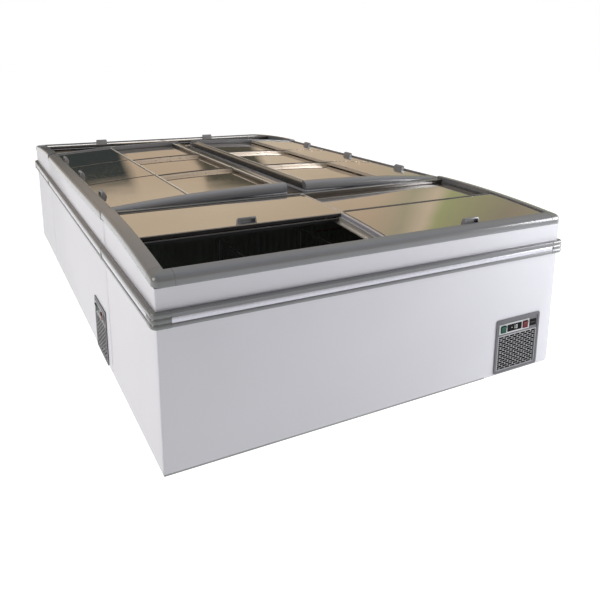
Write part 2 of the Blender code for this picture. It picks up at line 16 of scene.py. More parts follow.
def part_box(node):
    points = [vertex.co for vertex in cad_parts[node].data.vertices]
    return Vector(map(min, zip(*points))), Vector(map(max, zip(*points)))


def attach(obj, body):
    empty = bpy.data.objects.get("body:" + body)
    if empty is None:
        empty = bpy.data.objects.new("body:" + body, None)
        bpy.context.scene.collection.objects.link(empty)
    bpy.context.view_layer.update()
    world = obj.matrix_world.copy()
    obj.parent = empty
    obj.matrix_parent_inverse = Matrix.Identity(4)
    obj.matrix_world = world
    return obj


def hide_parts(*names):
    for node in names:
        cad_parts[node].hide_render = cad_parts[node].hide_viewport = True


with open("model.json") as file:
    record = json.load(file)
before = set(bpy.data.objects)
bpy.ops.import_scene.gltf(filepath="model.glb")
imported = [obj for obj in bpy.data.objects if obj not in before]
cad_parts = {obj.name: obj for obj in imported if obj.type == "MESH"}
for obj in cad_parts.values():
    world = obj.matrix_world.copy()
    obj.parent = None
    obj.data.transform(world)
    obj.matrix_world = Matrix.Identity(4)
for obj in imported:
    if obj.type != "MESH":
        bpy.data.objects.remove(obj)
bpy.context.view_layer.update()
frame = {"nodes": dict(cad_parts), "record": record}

TURNS = {"near": 0, "left": -90, "right": 90, "far": 180}
END_CABINETS = ("near", "far")
FIXED = "island"

# Shell and feet
SHEET = 0.003
WRAP_CORNER = 0.006
FOOT_INSET = 0.09
PAN_RISE = 0.012

# Tub
TUB_FRONT = 0.060
TUB_BACK = 0.057
TUB_FLOOR_Z = 0.115
SHELF_FLOOR_Z = 0.395
SHELF_START_X = 0.475
RIB_PITCH = 0.032
RIB_PROUD = 0.002

# Rims and tracks, as drops below the lid arc
RIM_INNER = 0.045
RIM_CORNER = 0.030
CORNER_REACH = {True: (0.075, 0.060), False: (0.048, 0.048)}
SEAM = 0.0007
SHELL_TOP = 0.0445
TRACK_WIDTH = 0.010
UPPER_TRACK = 0.0260
LOWER_TRACK = 0.0482
TRACK_BOTTOM = 0.0550
RAIL_DROP = 0.012
RAIL_STRIP = 0.0040
RAIL_CAP = 0.0040
BACK_DROP = 0.010

# Lids
LID_CLEAR = 0.0015
UPPER_LID_TOP = 0.008
LOWER_LID_TOP = 0.030
LID_THICK = 0.017
PANE = 0.004
FRONT_BAR = 0.020
REAR_BAR = 0.014
SIDE_BAR = 0.012
HANDLE_WIDTH = 0.080
HANDLE_RISE = 0.026
HANDLE_DEPTH = 0.026

# Bumper rail
BUMPER_PROUD = 0.020
CAP_REACH = 0.048
CAP_ROUND = 0.007
CLIP_HALF = 0.007

# Vent panel and switches
ROCKERS = {"power_rocker": "rocker_green", "fast_freeze_rocker": "rocker_red"}
ROCKER_TILT = math.radians(7)
VENT_BACK = -0.0003

ARC_STEPS = 14

# Finishes
BROAD_SCALE = 3.0
FINE_SHARE = 0.35
COAT_ROUGH = 0.15

# Light: a lamp has a place, a target, a size, a power, a colour and whether glossy surfaces show it
FILL = 0.05
FLOOR_GLOW = 0.95
LAMPS = {
    "key": ((3.0, -2.9, 1.2), (1.0, -1.7, 0.4), 1.4, 84, (0.97, 0.97, 1.0), True),
    "side": ((-4.6, -1.2, 2.6), (-0.9, -0.6, 0.4), 2.2, 84, (1.0, 0.95, 0.92), True),
    "top": ((1.0, 0.0, 4.2), (0.3, 0.0, 0.8), 4.0, 90, (1, 1, 1), False),
}

# Camera: place, heading, tilt and roll in radians, and a lens whose middle is off the picture's
CAMERA_PLACE = (-1.3962, -3.6612, 1.4241)
AZIMUTH, ELEVATION, ROLL = 0.5135, 0.2221, 0.0107
SENSOR, LENS = 36.0, 38.11
LENS_SHIFT = (-0.0378, -0.1604)


# Materials


def nodes_of(name):
    made = bpy.data.materials.new(name)
    made.use_nodes = True
    tree = made.node_tree
    return made, tree, tree.nodes["Principled BSDF"]


def add(tree, kind, **values):
    node = tree.nodes.new(kind)
    for key, value in values.items():
        if key in node.inputs:
            node.inputs[key].default_value = value
        else:
            setattr(node, key, value)
    return node


def feed(tree, node, sources):
    """Links each source to the node's input of that name or number."""
    for key, source in sources.items():
        tree.links.new(source, node.inputs[key])
    return node


def stretched(tree, scale=(1, 1, 1)):
    """Object coordinates, stretched along each axis."""
    source = add(tree, "ShaderNodeTexCoord")
    mapping = add(tree, "ShaderNodeMapping", Scale=scale)
    return feed(tree, mapping, {"Vector": source.outputs["Object"]}).outputs["Vector"]


def noise(tree, vector, scale, detail=3.0, rough=0.5):
    node = add(tree, "ShaderNodeTexNoise", Scale=scale, Detail=detail, Roughness=rough)
    return feed(tree, node, {"Vector": vector}).outputs["Fac"]


def ranged(tree, value, low, high, from_low=0.3, from_high=0.7):
    node = add(tree, "ShaderNodeMapRange")
    for key, number in zip((1, 2, 3, 4), (from_low, from_high, low, high)):
        node.inputs[key].default_value = number
    return feed(tree, node, {"Value": value}).outputs["Result"]


def toned(tree, value, dark, light, from_low=0.3, from_high=0.7):
    ramp = add(tree, "ShaderNodeValToRGB")
    ends = ramp.color_ramp.elements
    ends[0].position, ends[0].color = from_low, (*dark, 1.0)
    ends[1].position, ends[1].color = from_high, (*light, 1.0)
    return feed(tree, ramp, {"Fac": value}).outputs["Color"]


def bumped(tree, value, distance, strength=1.0):
    node = add(tree, "ShaderNodeBump", Distance=distance, Strength=strength)
    return feed(tree, node, {"Height": value}).outputs["Normal"]


def surface(
    colour, rough, grain, depth, vary=0.06, metallic=0.0, coat=0.0, stretch=(1, 1, 1), gloss=0.5
):
    """A finish with broad tone and gloss variation, and a fine grain that also carries the bump."""
    made, tree, shader = nodes_of("finish")
    shader.inputs["Metallic"].default_value = metallic
    shader.inputs["Coat Weight"].default_value = coat
    shader.inputs["Specular IOR Level"].default_value = gloss
    shader.inputs["Coat Roughness"].default_value = COAT_ROUGH
    broad = noise(tree, stretched(tree), BROAD_SCALE, 4.0)
    fine = noise(tree, stretched(tree, stretch), grain, 2.0, 0.6)
    mixed = add(tree, "ShaderNodeMath", operation="MULTIPLY_ADD")
    mixed.inputs[1].default_value = FINE_SHARE
    feed(tree, mixed, {0: fine, 2: ranged(tree, broad, 0.0, 1.0 - FINE_SHARE)})
    dark = tuple(c * (1 - vary) for c in colour)
    light = tuple(min(1.0, c * (1 + vary)) for c in colour)
    looks = {
        "Base Color": toned(tree, mixed.outputs[0], dark, light, 0.0, 1.0),
        "Roughness": ranged(tree, fine, rough * 0.88, min(1.0, rough * 1.14)),
        "Normal": bumped(tree, fine, depth),
    }
    feed(tree, shader, looks)
    return made


def coated_glass(mirror, through, share, rough=0.02):
    """Glass with a thin reflective coat: a tinted mirror laid over a tinted see-through sheet."""
    made, tree, shader = nodes_of("finish")
    shader.inputs["Metallic"].default_value = 1.0
    wave = noise(tree, stretched(tree), 2.2, 2.0)
    smear = noise(tree, stretched(tree, (3, 14, 3)), 5.0, 5.0, 0.6)
    looks = {
        "Base Color": toned(tree, wave, tuple(c * 0.93 for c in mirror), mirror),
        "Roughness": ranged(tree, smear, rough, rough * 4.0),
        "Normal": bumped(tree, wave, 0.0009),
    }
    feed(tree, shader, looks)
    clear = add(tree, "ShaderNodeBsdfTransparent", Color=(*through, 1.0))
    facing = add(tree, "ShaderNodeLayerWeight", Blend=0.35)
    amount = ranged(tree, facing.outputs["Facing"], *share, 0.0, 0.9)
    blend = add(tree, "ShaderNodeMixShader")
    feed(tree, blend, {"Fac": amount, 1: clear.outputs[0], 2: shader.outputs[0]})
    feed(tree, tree.nodes["Material Output"], {"Surface": blend.outputs[0]})
    return made


def lit(colour, strength):
    """A display segment that glows a little, with uneven brightness across it."""
    made, tree, shader = nodes_of("finish")
    fine = noise(tree, stretched(tree), 260.0)
    glow = toned(tree, fine, tuple(c * 0.8 for c in colour), colour)
    feed(tree, shader, {"Base Color": glow, "Emission Color": glow})
    shader.inputs["Emission Strength"].default_value = strength
    return made


def make_materials():
    return {
        "white": surface((0.63, 0.63, 0.675), 0.34, 190, 0.00010, 0.02, coat=0.15),
        "liner": surface((0.240, 0.262, 0.246), 0.40, 320, 0.00030, 0.30),
        "rim": surface((0.178, 0.184, 0.194), 0.22, 650, 0.00004, 0.06, coat=0.50),
        "corner": surface((0.170, 0.178, 0.180), 0.25, 650, 0.00004, 0.06, coat=0.45),
        "back_rim": surface((0.055, 0.052, 0.048), 0.16, 500, 0.00003, 0.10, coat=0.5),
        "track": surface((0.080, 0.083, 0.088), 0.45, 500, 0.00010, 0.12),
        "panel": surface((0.105, 0.107, 0.117), 0.42, 900, 0.00010, 0.08),
        "grille": surface((0.330, 0.334, 0.345), 0.42, 900, 0.00010, 0.08),
        "plate": surface((0.52, 0.53, 0.55), 0.40, 700, 0.00006, 0.04),
        "bumper": surface((0.175, 0.180, 0.190), 0.28, 420, 0.00005, 0.08, coat=0.30),
        "cap": surface((0.150, 0.160, 0.160), 0.26, 420, 0.00005, 0.10, coat=0.35),
        "strip": surface((0.62, 0.63, 0.70), 0.26, 60, 0.00003, 0.05, 0.25, 0.2, (1, 1, 30)),
        "bright": surface((0.86, 0.84, 0.80), 0.25, 60, 0.00003, 0.04, 0.3, 0.2, (1, 30, 1)),
        "rear_trim": surface((0.24, 0.25, 0.25), 0.34, 300, 0.00004, 0.06, 0.2),
        "rail": surface((0.72, 0.69, 0.65), 0.34, 60, 0.00004, 0.05, 0.55, 0.0, (30, 1, 1)),
        # Warm tone on the straight cabinets' rails and the tracks beside them: a painted reflection of the
        # lids.
        "lid_reflection_rail": surface((0.82, 0.77, 0.70), 0.30, 60, 0.00002, 0.05, 0.8, 0.0, (30, 1, 1)),
        # Cool grey band on the left side of the end cabinets' rails: a painted reflection.
        "painted_rail_reflection": surface((0.33, 0.33, 0.38), 0.40, 500, 0.00006, 0.05),
        # Near-black brown of the spine cover: painted shade, for the recess between the back rims lying in
        # shadow.
        "spine": surface((0.030, 0.027, 0.024), 0.45, 150, 0.00010, 0.12),
        "bar": surface((0.026, 0.027, 0.030), 0.38, 500, 0.00008, 0.12),
        "trim": surface((0.56, 0.50, 0.42), 0.35, 80, 0.00004, 0.06, 0.3, 0.0, (30, 1, 1)),
        "handle": surface((0.200, 0.205, 0.215), 0.34, 600, 0.00008, 0.06, coat=0.10),
        "glass": coated_glass((0.95, 0.90, 0.84), (0.36, 0.31, 0.25), (0.60, 0.97)),
        "green": surface((0.002, 0.060, 0.036), 0.30, 900, 0.00003, 0.08, gloss=0.2),
        "red": surface((0.110, 0.004, 0.007), 0.30, 900, 0.00003, 0.08, gloss=0.2),
        "display": surface((0.004, 0.004, 0.005), 0.35, 400, 0.00001, 0.20, gloss=0.06),
        # Near-black for the sheet behind the vent grille: painted shade for the dark bay seen through the
        # slots.
        "shade_black": surface((0.003, 0.003, 0.003), 0.90, 400, 0.00005, 0.20, gloss=0.02),
        "digit": lit((0.75, 0.80, 0.78), 0.6),
        "mark": surface((0.230, 0.022, 0.020), 0.50, 600, 0.00004, 0.12),
        "pot": surface((0.016, 0.016, 0.017), 0.36, 240, 0.00010, 0.20, coat=0.2),
        "fin": surface((0.60, 0.61, 0.62), 0.34, 120, 0.00005, 0.08, 0.85, 0.0, (1, 1, 20)),
        "fan": surface((0.022, 0.022, 0.023), 0.42, 600, 0.00006, 0.15),
        "wire": surface((0.90, 0.90, 0.90), 0.30, 700, 0.00005, 0.08, 0.2),
        "thin_wire": surface((0.20, 0.20, 0.21), 0.36, 700, 0.00005, 0.08, 0.2),
        "zinc": surface((0.55, 0.55, 0.56), 0.38, 160, 0.00005, 0.10, 0.85),
        "rubber": surface((0.018, 0.018, 0.019), 0.65, 500, 0.00015, 0.15),
    }


PAINT = make_materials()
for paint_name, painted in PAINT.items():
    painted.name = paint_name


# Meshes


def placed(name, data):
    """A new object with this data, put in the scene."""
    obj = bpy.data.objects.new(name, data)
    bpy.context.scene.collection.objects.link(obj)
    return obj


def closed_mesh(name, bm):
    """A mesh with merged doubles and outward faces."""
    bmesh.ops.remove_doubles(bm, verts=bm.verts, dist=0.00002)
    bmesh.ops.dissolve_degenerate(bm, edges=bm.edges, dist=0.00001)
    bmesh.ops.recalc_face_normals(bm, faces=bm.faces)
    mesh = bpy.data.meshes.new(name)
    bm.to_mesh(mesh)
    bm.free()
    return mesh


def loft(rings, looped=False):
    """A solid through rings of equal point count: with flat end caps, or closed on itself."""
    bm = bmesh.new()
    made = [[bm.verts.new(point) for point in ring] for ring in rings]
    count = len(made[0])
    pairs = list(zip(made, made[1:]))
    if looped:
        pairs.append((made[-1], made[0]))
    for first, second in pairs:
        for i in range(count):
            bm.faces.new((first[i], first[(i + 1) % count], second[(i + 1) % count], second[i]))
    if not looped:
        bm.faces.new(made[0])
        bm.faces.new(made[-1])
    return closed_mesh("solid", bm)


def merged(meshes):
    """Several closed meshes as one mesh."""
    bm = bmesh.new()
    for mesh in meshes:
        bm.from_mesh(mesh)
    mesh = bpy.data.meshes.new("merged")
    bm.to_mesh(mesh)
    bm.free()
    return mesh


def arc(centre, radius, start, end, steps=4):
    angles = [math.radians(start + (end - start) * i / steps) for i in range(steps + 1)]
    return [(centre[0] + radius * math.cos(a), centre[1] + radius * math.sin(a)) for a in angles]


def rounded_plan(low, high, radius, steps=4):
    """Points of a rectangle with rounded corners, anticlockwise from its lower left corner."""
    left, right = low[0] + radius, high[0] - radius
    near, far = low[1] + radius, high[1] - radius
    turns = (((left, near), 180), ((right, near), 270), ((right, far), 0), ((left, far), 90))
    return [point for centre, start in turns for point in arc(centre, radius, start, start + 90, steps)]


def block(x, y, z):
    outline = [(y[0], z[0]), (y[1], z[0]), (y[1], z[1]), (y[0], z[1])]
    return loft([[(end, *point) for point in outline] for end in x])


def tablet(x, y, z, radius, steps=4):
    """A plate across y whose outline in x and z has rounded corners."""
    plan = rounded_plan((x[0], z[0]), (x[1], z[1]), radius, steps)
    return loft([[(px, py, pz) for px, pz in plan] for py in y])


def turned(profile, centre, sides=28, axis="Z"):
    """A solid of revolution from (radius, height) pairs, about Z or Y through a point."""
    rings = []
    for radius, height in profile:
        ring = []
        for i in range(sides):
            a = 2 * math.pi * i / sides
            across, along = radius * math.cos(a), radius * math.sin(a)
            offset = (across, along, height) if axis == "Z" else (across, height, along)
            ring.append(Vector(centre) + Vector(offset))
        rings.append(ring)
    return loft(rings)


def carved(base, *cutters):
    """The base mesh with the cutters taken out of it."""
    work = placed("work", base)
    tools = []
    for mesh in cutters:
        tool = placed("tool", mesh)
        modifier = work.modifiers.new("Cut", "BOOLEAN")
        modifier.operation = "DIFFERENCE"
        modifier.solver = "EXACT"
        modifier.object = tool
        tools.append(tool)
    bpy.context.view_layer.update()
    result = bpy.data.meshes.new_from_object(work.evaluated_get(bpy.context.evaluated_depsgraph_get()))
    for temporary in [work, *tools]:
        bpy.data.objects.remove(temporary, do_unlink=True)
    return result


def cell_plate(x_lines, z_lines, is_open, y_front, thick):
    """A plate made of the cells between grid lines, leaving out those that are open."""
    bm = bmesh.new()
    grid = [[bm.verts.new((x, y_front, z)) for x in x_lines] for z in z_lines]
    for j in range(len(z_lines) - 1):
        for i in range(len(x_lines) - 1):
            x, z = (x_lines[i] + x_lines[i + 1]) / 2, (z_lines[j] + z_lines[j + 1]) / 2
            if not is_open(x, z, j):
                bm.faces.new((grid[j][i], grid[j][i + 1], grid[j + 1][i + 1], grid[j + 1][i]))
    loose = [v for v in bm.verts if not v.link_faces]
    bmesh.ops.delete(bm, geom=loose, context="VERTS")
    made = bmesh.ops.extrude_face_region(bm, geom=list(bm.faces))
    moved = [item for item in made["geom"] if isinstance(item, bmesh.types.BMVert)]
    bmesh.ops.translate(bm, verts=moved, vec=(0, thick, 0))
    return closed_mesh("cells", bm)


def piece(name, mesh, paint, body=FIXED, slot=None, matrix=None, stands_for=(), bevel=0.0, facets=35):
    """Puts a mesh in the scene as one piece on a body, with softened edges."""
    obj = placed(name, mesh)
    if matrix:
        obj.matrix_world = matrix
    mesh.materials.clear()
    mesh.materials.append(PAINT[paint])
    mesh.shade_smooth()
    if bevel:
        edges = obj.modifiers.new("Edges", "BEVEL")
        edges.width = bevel
        edges.segments = 2
        edges.limit_method = "ANGLE"
        edges.angle_limit = math.radians(facets)
        edges.harden_normals = True
    else:
        mesh.set_sharp_from_angle(angle=math.radians(facets))
    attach(obj, body)
    if stands_for:
        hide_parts(*stands_for)
    return obj


def repaint(node, paint):
    """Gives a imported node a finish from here, where the node itself is what shows."""
    materials = frame["nodes"][node].data.materials
    materials.clear()
    materials.append(PAINT[paint])


# Cabinets


class Cabinet:
    """One packed cabinet: its local frame, its lid arc, its rims and its bays."""

    def __init__(self, name):
        self.name = name
        self.is_end = name in END_CABINETS
        low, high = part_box(f"{name}_cabinet_shell")
        turn = math.radians(TURNS[name])
        middle, reach = (low + high) / 2, (high - low) / 2
        place = Vector((middle.x + math.sin(turn) * reach.x, middle.y - math.cos(turn) * reach.y, 0))
        self.matrix = Matrix.Translation(place) @ Matrix.Rotation(turn, 4, "Z")
        shell = self.local_box("cabinet_shell")
        rim = self.local_box("top_rim")
        self.half, self.back = shell[1].x, shell[1].y
        self.bottom, self.rim_front = shell[0].z, rim[0].y
        self.edge = rim[1].x - (0.001 if self.is_end else 0.0)
        joints = {joint["name"]: joint for joint in frame["record"]["behaviour"]["joints"]}
        axis_point = self.matrix.inverted() @ Vector(joints[f"{name}_front_lid_1_slide"]["pos_m"])
        self.depth, self.centre_z = axis_point.y, axis_point.z
        self.radius = rim[1].z - self.centre_z
        self.count = 2 if self.is_end else 3
        self.bays = []
        for number in range(1, self.count + 1):
            lid = self.local_box(f"front_lid_{number}")
            self.bays.append((lid[0].x - LID_CLEAR, lid[1].x + LID_CLEAR))

    def local_box(self, part):
        back_to_local = self.matrix.inverted()
        a, b = (back_to_local @ Vector(corner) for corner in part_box(f"{self.name}_{part}"))
        low = Vector(min(p, q) for p, q in zip(a, b))
        high = Vector(max(p, q) for p, q in zip(a, b))
        return low, high

    def node(self, part):
        return f"{self.name}_{part}"

    def arc_z(self, y, drop=0.0):
        """Height of the lid arc at depth y, less a drop."""
        return self.centre_z + math.sqrt(self.radius**2 - (self.depth - y) ** 2) - drop

    def angle(self, y, drop=0.0):
        return math.asin((self.depth - y) / (self.radius - drop))

    def at(self, x, angle, drop):
        r = self.radius - drop
        return Vector((x, self.depth - r * math.sin(angle), self.centre_z + r * math.cos(angle)))

    def swept(self, outline, front_angle, back_angle, steps=ARC_STEPS):
        """A solid whose section in x and drop follows the lid arc from front to back."""
        angles = spread(front_angle, back_angle, steps)
        return loft([[self.at(x, angle, drop) for x, drop in outline] for angle in angles])

    def piece(self, part, mesh, paint, **words):
        return piece(self.node(part), mesh, paint, matrix=self.matrix, **words)


def make_wrap(cab):
    """Folded sheet round the cabinet with rounded corners, open for the vent panel."""
    outer = rounded_plan((-cab.half, 0.0), (cab.half, cab.back), WRAP_CORNER)
    inner = rounded_plan(
        (-cab.half + SHEET, SHEET), (cab.half - SHEET, cab.back - SHEET), WRAP_CORNER - SHEET
    )
    low = 0.03 + PAN_RISE
    rings = []
    for (ox, oy), (ix, iy) in zip(outer, inner):
        top = cab.arc_z(oy, SHELL_TOP)
        rings.append([(ox, oy, low), (ox, oy, top), (ix, iy, top), (ix, iy, low)])
    panel = cab.local_box("vent_panel")
    mouth = block(
        (panel[0].x + 0.010, panel[1].x - 0.010), (-0.05, 0.05), (panel[0].z + 0.010, panel[1].z - 0.010)
    )
    wrap = carved(refined_wrap(cab, rings), mouth)
    nodes = [cab.node("cabinet_shell")]
    cab.piece("wrap", wrap, "white", slot="shop_white", stands_for=nodes, facets=30)


def refined_wrap(cab, rings):
    """The wrap with extra upright sections along its sides, so that its top can follow the lid arc."""
    full = []
    for first, second in zip(rings, rings[1:] + rings[:1]):
        full.append(first)
        run = second[0][1] - first[0][1]
        if abs(run) > 0.1:
            for i in range(1, ARC_STEPS):
                share = i / ARC_STEPS
                pairs = zip(first, second)
                section = [tuple(a + (b - a) * share for a, b in zip(p, q)) for p, q in pairs]
                top = cab.arc_z(section[0][1], SHELL_TOP)
                full.append([(x, y, top if k in (1, 2) else z) for k, (x, y, z) in enumerate(section)])
    return loft(full, looped=True)


def make_pan(cab):
    """Bottom pan with a set-back rounded edge, levelling feet and the cable gland."""
    rings = []
    for inset, z in ((0.012, 0.030), (0.0035, 0.034), (0.0035, 0.0425)):
        low, high = (-cab.half + inset, inset), (cab.half - inset, cab.back - inset)
        rings.append([(x, y, z) for x, y in rounded_plan(low, high, WRAP_CORNER)])
    cab.piece("pan", loft(rings), "zinc", slot="shop_white")
    profile = [(0.006, 0.034), (0.006, 0.012), (0.011, 0.012), (0.011, 0.008), (0.019, 0.0075)]
    profile += [(0.022, 0.004), (0.022, 0.0)]
    number = 0
    for x in (-cab.half + FOOT_INSET, 0.0, cab.half - FOOT_INSET):
        for y in (FOOT_INSET, cab.back - FOOT_INSET):
            number += 1
            cab.piece(f"foot_{number}", turned(profile, (x, y, 0.0)), "rubber", slot="shop_white")
    gland = [(0.008, 0.032), (0.011, 0.031), (0.011, 0.022)]
    gland += [(0.0095, 0.021), (0.0095, 0.014), (0.006, 0.012)]
    place = (cab.local_box("vent_panel")[1].x, cab.back - 0.03, 0.0)
    cab.piece("gland", turned(gland, place, 16), "rubber", slot="shop_white")


def ribbed_wall(start, end, inward, z):
    """A wall sheet with upright ribs, from one plan point to another."""
    start, end, inward = Vector(start), Vector(end), Vector(inward)
    along = end - start
    length = along.length
    along.normalize()
    count = int(length / RIB_PITCH)
    margin = (length - count * RIB_PITCH) / 2
    front = [(0.0, 0.0005)]
    for i in range(count):
        left = margin + i * RIB_PITCH
        front += [(left + RIB_PITCH * share, RIB_PROUD * rise) for share, rise in RIB_SHAPE]
    front.append((length, 0.0005))
    outline = [start + along * s + inward * r for s, r in front]
    outline += [end - inward * 0.0015, start - inward * 0.0015]
    return loft([[(p.x, p.y, height) for p in outline] for height in z])


RIB_SHAPE = ((0.34, 0.25), (0.40, 0.90), (0.50, 1.0), (0.60, 0.90), (0.66, 0.25))


def make_tub(cab):
    """The dark liner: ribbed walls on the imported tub."""
    repaint(cab.node("insulated_tub"), "liner")
    wall = cab.half - TUB_FRONT
    front, back = TUB_FRONT, cab.back - TUB_BACK
    top = cab.arc_z(front, 0.0600)
    tall, short = (TUB_FLOOR_Z, top), (SHELF_FLOOR_Z, top)
    parts = {
        "front_low": ((-wall, front), (SHELF_START_X, front), (0, 1), tall),
        "front_high": ((SHELF_START_X, front), (wall, front), (0, 1), short),
        "back_low": ((SHELF_START_X, back), (-wall, back), (0, -1), tall),
        "back_high": ((wall, back), (SHELF_START_X, back), (0, -1), short),
        "left": ((-wall, back), (-wall, front), (1, 0), tall),
        "right": ((wall, front), (wall, back), (-1, 0), short),
    }
    for part, (start, end, inward, z) in parts.items():
        mesh = ribbed_wall(start, end, inward, z)
        cab.piece(f"liner_{part}", mesh, "liner", slot="liner_black", facets=50)


# Rims


def rim_section(width):
    """Section of a rim, from its outside face inwards: d is the way in, drop the way down."""
    section = [(0.0040, 0.0420), (0.0006, 0.0420), (0.0, 0.0410)]
    section += [(0.0, 0.0330), (0.0, 0.0262)]
    section += [(x, -z) for x, z in arc((0.0205, -0.0245), 0.0205, 174, 102, 8)]
    section += [(0.0250, 0.0028), (0.0340, 0.0014), (width - 0.0025, 0.0006), (width, 0.0030)]
    section += [(width, UPPER_TRACK), (width - 0.0040, UPPER_TRACK), (width - 0.0060, 0.0380)]
    return section


def front_station(cab, x):
    return lambda d: (x, cab.rim_front + d)


def back_station(cab, x):
    return lambda d: (x, cab.back - d)


def side_station(cab, side, y):
    return lambda d: (side * (cab.edge - d), y)


def corner_station(cab, side, degrees):
    """A place on the rounded corner of the rim: 0 degrees faces out to the side, 90 to the front."""
    a = math.radians(degrees)
    x_mid, y_mid = cab.edge - RIM_CORNER, cab.rim_front + RIM_CORNER

    def place(d):
        if d < RIM_CORNER:
            r = RIM_CORNER - d
            return (side * (x_mid + r * math.cos(a)), y_mid - r * math.sin(a))
        return (side * (x_mid - d + RIM_CORNER), y_mid + d - RIM_CORNER)

    return place


def back_section(width):
    """Section of the low back rim: a flat top with an inner lip."""
    low = BACK_DROP
    section = [(0.0040, 0.0420), (0.0, 0.0410), (0.0, low + 0.0060)]
    section += [(x, -z) for x, z in arc((0.0060, -low - 0.0065), 0.0060, 170, 100, 4)]
    section += [(width - 0.0075, low + 0.0006), (width - 0.0070, low + 0.0022)]
    section += [(width - 0.0062, low + 0.0022), (width - 0.0062, low + 0.0046), (width, low + 0.0046)]
    return section + [(width, 0.0300), (width - 0.002, 0.0400)]


def back_lip(width):
    """Section of the bright lip along the inner edge of the back rim."""
    low, high, foot = width - 0.0058, width, BACK_DROP + 0.0044
    outline = [(low, foot), (low, BACK_DROP + 0.0008), (low + 0.0008, BACK_DROP)]
    return outline + [(high - 0.0008, BACK_DROP), (high, BACK_DROP + 0.0008), (high, foot)]


def rim_run(cab, stations, section):
    rings = []
    for place in stations:
        ring = []
        for d, drop in section:
            x, y = place(d)
            ring.append((x, y, cab.arc_z(y, drop)))
        rings.append(ring)
    return loft(rings)


def spread(low, high, steps):
    return [low + (high - low) * i / steps for i in range(steps + 1)]


def make_rims(cab):
    """Front, side and back mouldings and the corner pieces between them."""
    nodes = [cab.node("top_rim")]
    left_reach, right_reach = CORNER_REACH[cab.is_end]
    width = RIM_INNER - cab.rim_front
    side_width = RIM_INNER + cab.edge - cab.half
    front = [front_station(cab, x) for x in spread(-cab.edge + left_reach, cab.edge - right_reach, 2)]
    look = {"slot": "rim_grey", "bevel": 0.0004}
    cab.piece("rim_front", rim_run(cab, front, rim_section(width)), "rim", stands_for=nodes, **look)
    for side, label, reach in ((-1, "left", left_reach), (1, "right", right_reach)):
        side_start = cab.rim_front + max(reach, 0.055)
        turn = [side_station(cab, side, side_start - SEAM)]
        turn += [corner_station(cab, side, angle) for angle in spread(0, 90, 8)]
        turn.append(front_station(cab, side * (cab.edge - reach + SEAM)))
        cab.piece(f"rim_corner_{label}", rim_run(cab, turn, rim_section(side_width)), "corner", **look)
        rest = [side_station(cab, side, y) for y in spread(side_start, cab.back - 0.001, ARC_STEPS)]
        cab.piece(f"rim_{label}", rim_run(cab, rest, rim_section(side_width)), "rim", **look)
    inner = cab.half - RIM_INNER - SEAM
    back = [back_station(cab, x) for x in spread(-inner, inner, 2)]
    cab.piece("rim_back", rim_run(cab, back, back_section(RIM_INNER)), "back_rim", **look)
    tone = "rear_trim" if cab.is_end else "bright"
    cab.piece("rim_back_lip", rim_run(cab, back, back_lip(RIM_INNER)), tone, slot="rim_grey")


def track_outline(edge, side):
    """Two ledges below a bay's edge: side is the way into the bay."""
    steps = [
        (-0.0010, UPPER_TRACK + 0.0004),
        (TRACK_WIDTH, UPPER_TRACK + 0.0004),
        (TRACK_WIDTH, LOWER_TRACK + 0.0004),
        (2 * TRACK_WIDTH, LOWER_TRACK + 0.0004),
        (2 * TRACK_WIDTH, TRACK_BOTTOM),
        (-0.0010, TRACK_BOTTOM),
    ]
    return [(edge + side * x, drop) for x, drop in steps]


def rail_outline(low, high):
    """Top of a cross rail: flat bands parted by narrow grooves, with sides down to the upper track."""
    width = high - low
    outline = [(low, UPPER_TRACK), (low, RAIL_DROP + 0.001), (low + 0.001, RAIL_DROP)]
    for share in (0.34, 0.68):
        x = low + share * width
        outline += [
            (x - 0.0007, RAIL_DROP),
            (x - 0.0005, RAIL_DROP + 0.0016),
            (x + 0.0005, RAIL_DROP + 0.0016),
            (x + 0.0007, RAIL_DROP),
        ]
    outline += [(high - 0.001, RAIL_DROP), (high, RAIL_DROP + 0.001), (high, UPPER_TRACK)]
    return outline


def end_rail(low, high):
    """Outlines of an end cabinet's rail: the grooved aluminium body, and a cool grey band on its left side
    that is a painted reflection.
    """
    split = low + RAIL_STRIP
    strip = [
        (low, UPPER_TRACK),
        (low, RAIL_DROP + 0.0030),
        (low + 0.0012, RAIL_DROP + 0.0014),
        (split - 0.0004, RAIL_DROP + 0.0008),
        (split - 0.0004, UPPER_TRACK),
    ]
    return {"rail": (rail_outline(split, high), "rail", 25), "rail_reflection_band": (strip, "painted_rail_reflection", 35)}


def straight_rail(low, high):
    """Outlines of a straight cabinet's rail: the body, tinted warm as a painted reflection of the lids, and
    the dark cap along its top.
    """
    split = RAIL_DROP + RAIL_CAP
    body = [(low, UPPER_TRACK), (low, split), (high, split), (high, UPPER_TRACK)]
    cap = [(low, split - 0.0002), (low, RAIL_DROP + 0.001), (low + 0.001, RAIL_DROP)]
    cap += [(high - 0.001, RAIL_DROP), (high, RAIL_DROP + 0.001), (high, split - 0.0002)]
    return {"rail": (body, "lid_reflection_rail", 35), "rail_cap": (cap, "bar", 35)}


